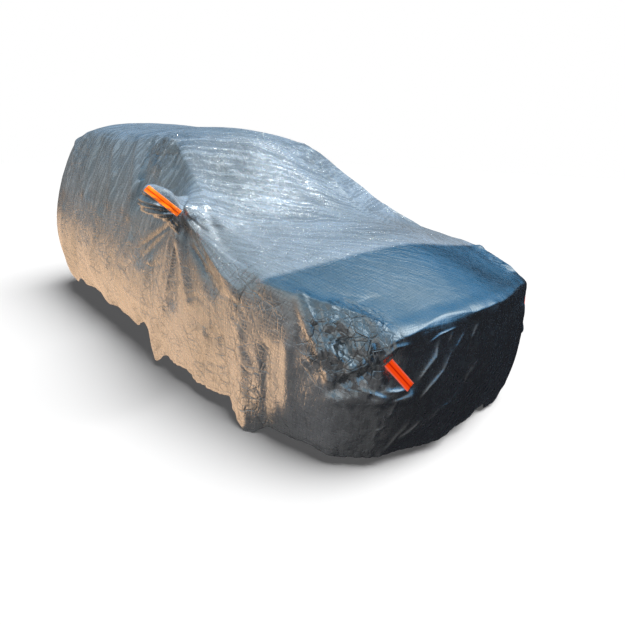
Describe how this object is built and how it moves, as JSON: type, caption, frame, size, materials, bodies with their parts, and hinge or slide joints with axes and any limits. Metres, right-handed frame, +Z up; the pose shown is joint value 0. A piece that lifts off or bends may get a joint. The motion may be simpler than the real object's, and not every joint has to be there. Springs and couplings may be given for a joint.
{
  "type": "car cover",
  "caption": "Fitted silver film car cover for a compact hatchback, draped as on the car, with mirror pouches and orange reflective tapes",
  "frame": {"origin": "the middle of the roof, on the inside of the cloth, where the car's roof top carries it", "axes": "+X to the nose, +Y to the car's left, +Z up"},
  "size_m": [4.1393, 1.9674, 1.5121],
  "materials": {
    "silvered_film": "vacuum metallised film on thin wadding, crumpled, semi-gloss",
    "orange_tape": "woven reflective tape, satin"
  },
  "bodies": {
    "root": {"cover_body": "silvered_film", "mirror_pocket_right": "silvered_film", "mirror_pocket_left": "silvered_film", "strip_pocket_right": "orange_tape", "strip_pocket_left": "orange_tape", "strip_corner_right": "orange_tape", "strip_corner_left": "orange_tape"}
  },
  "joints": []
}
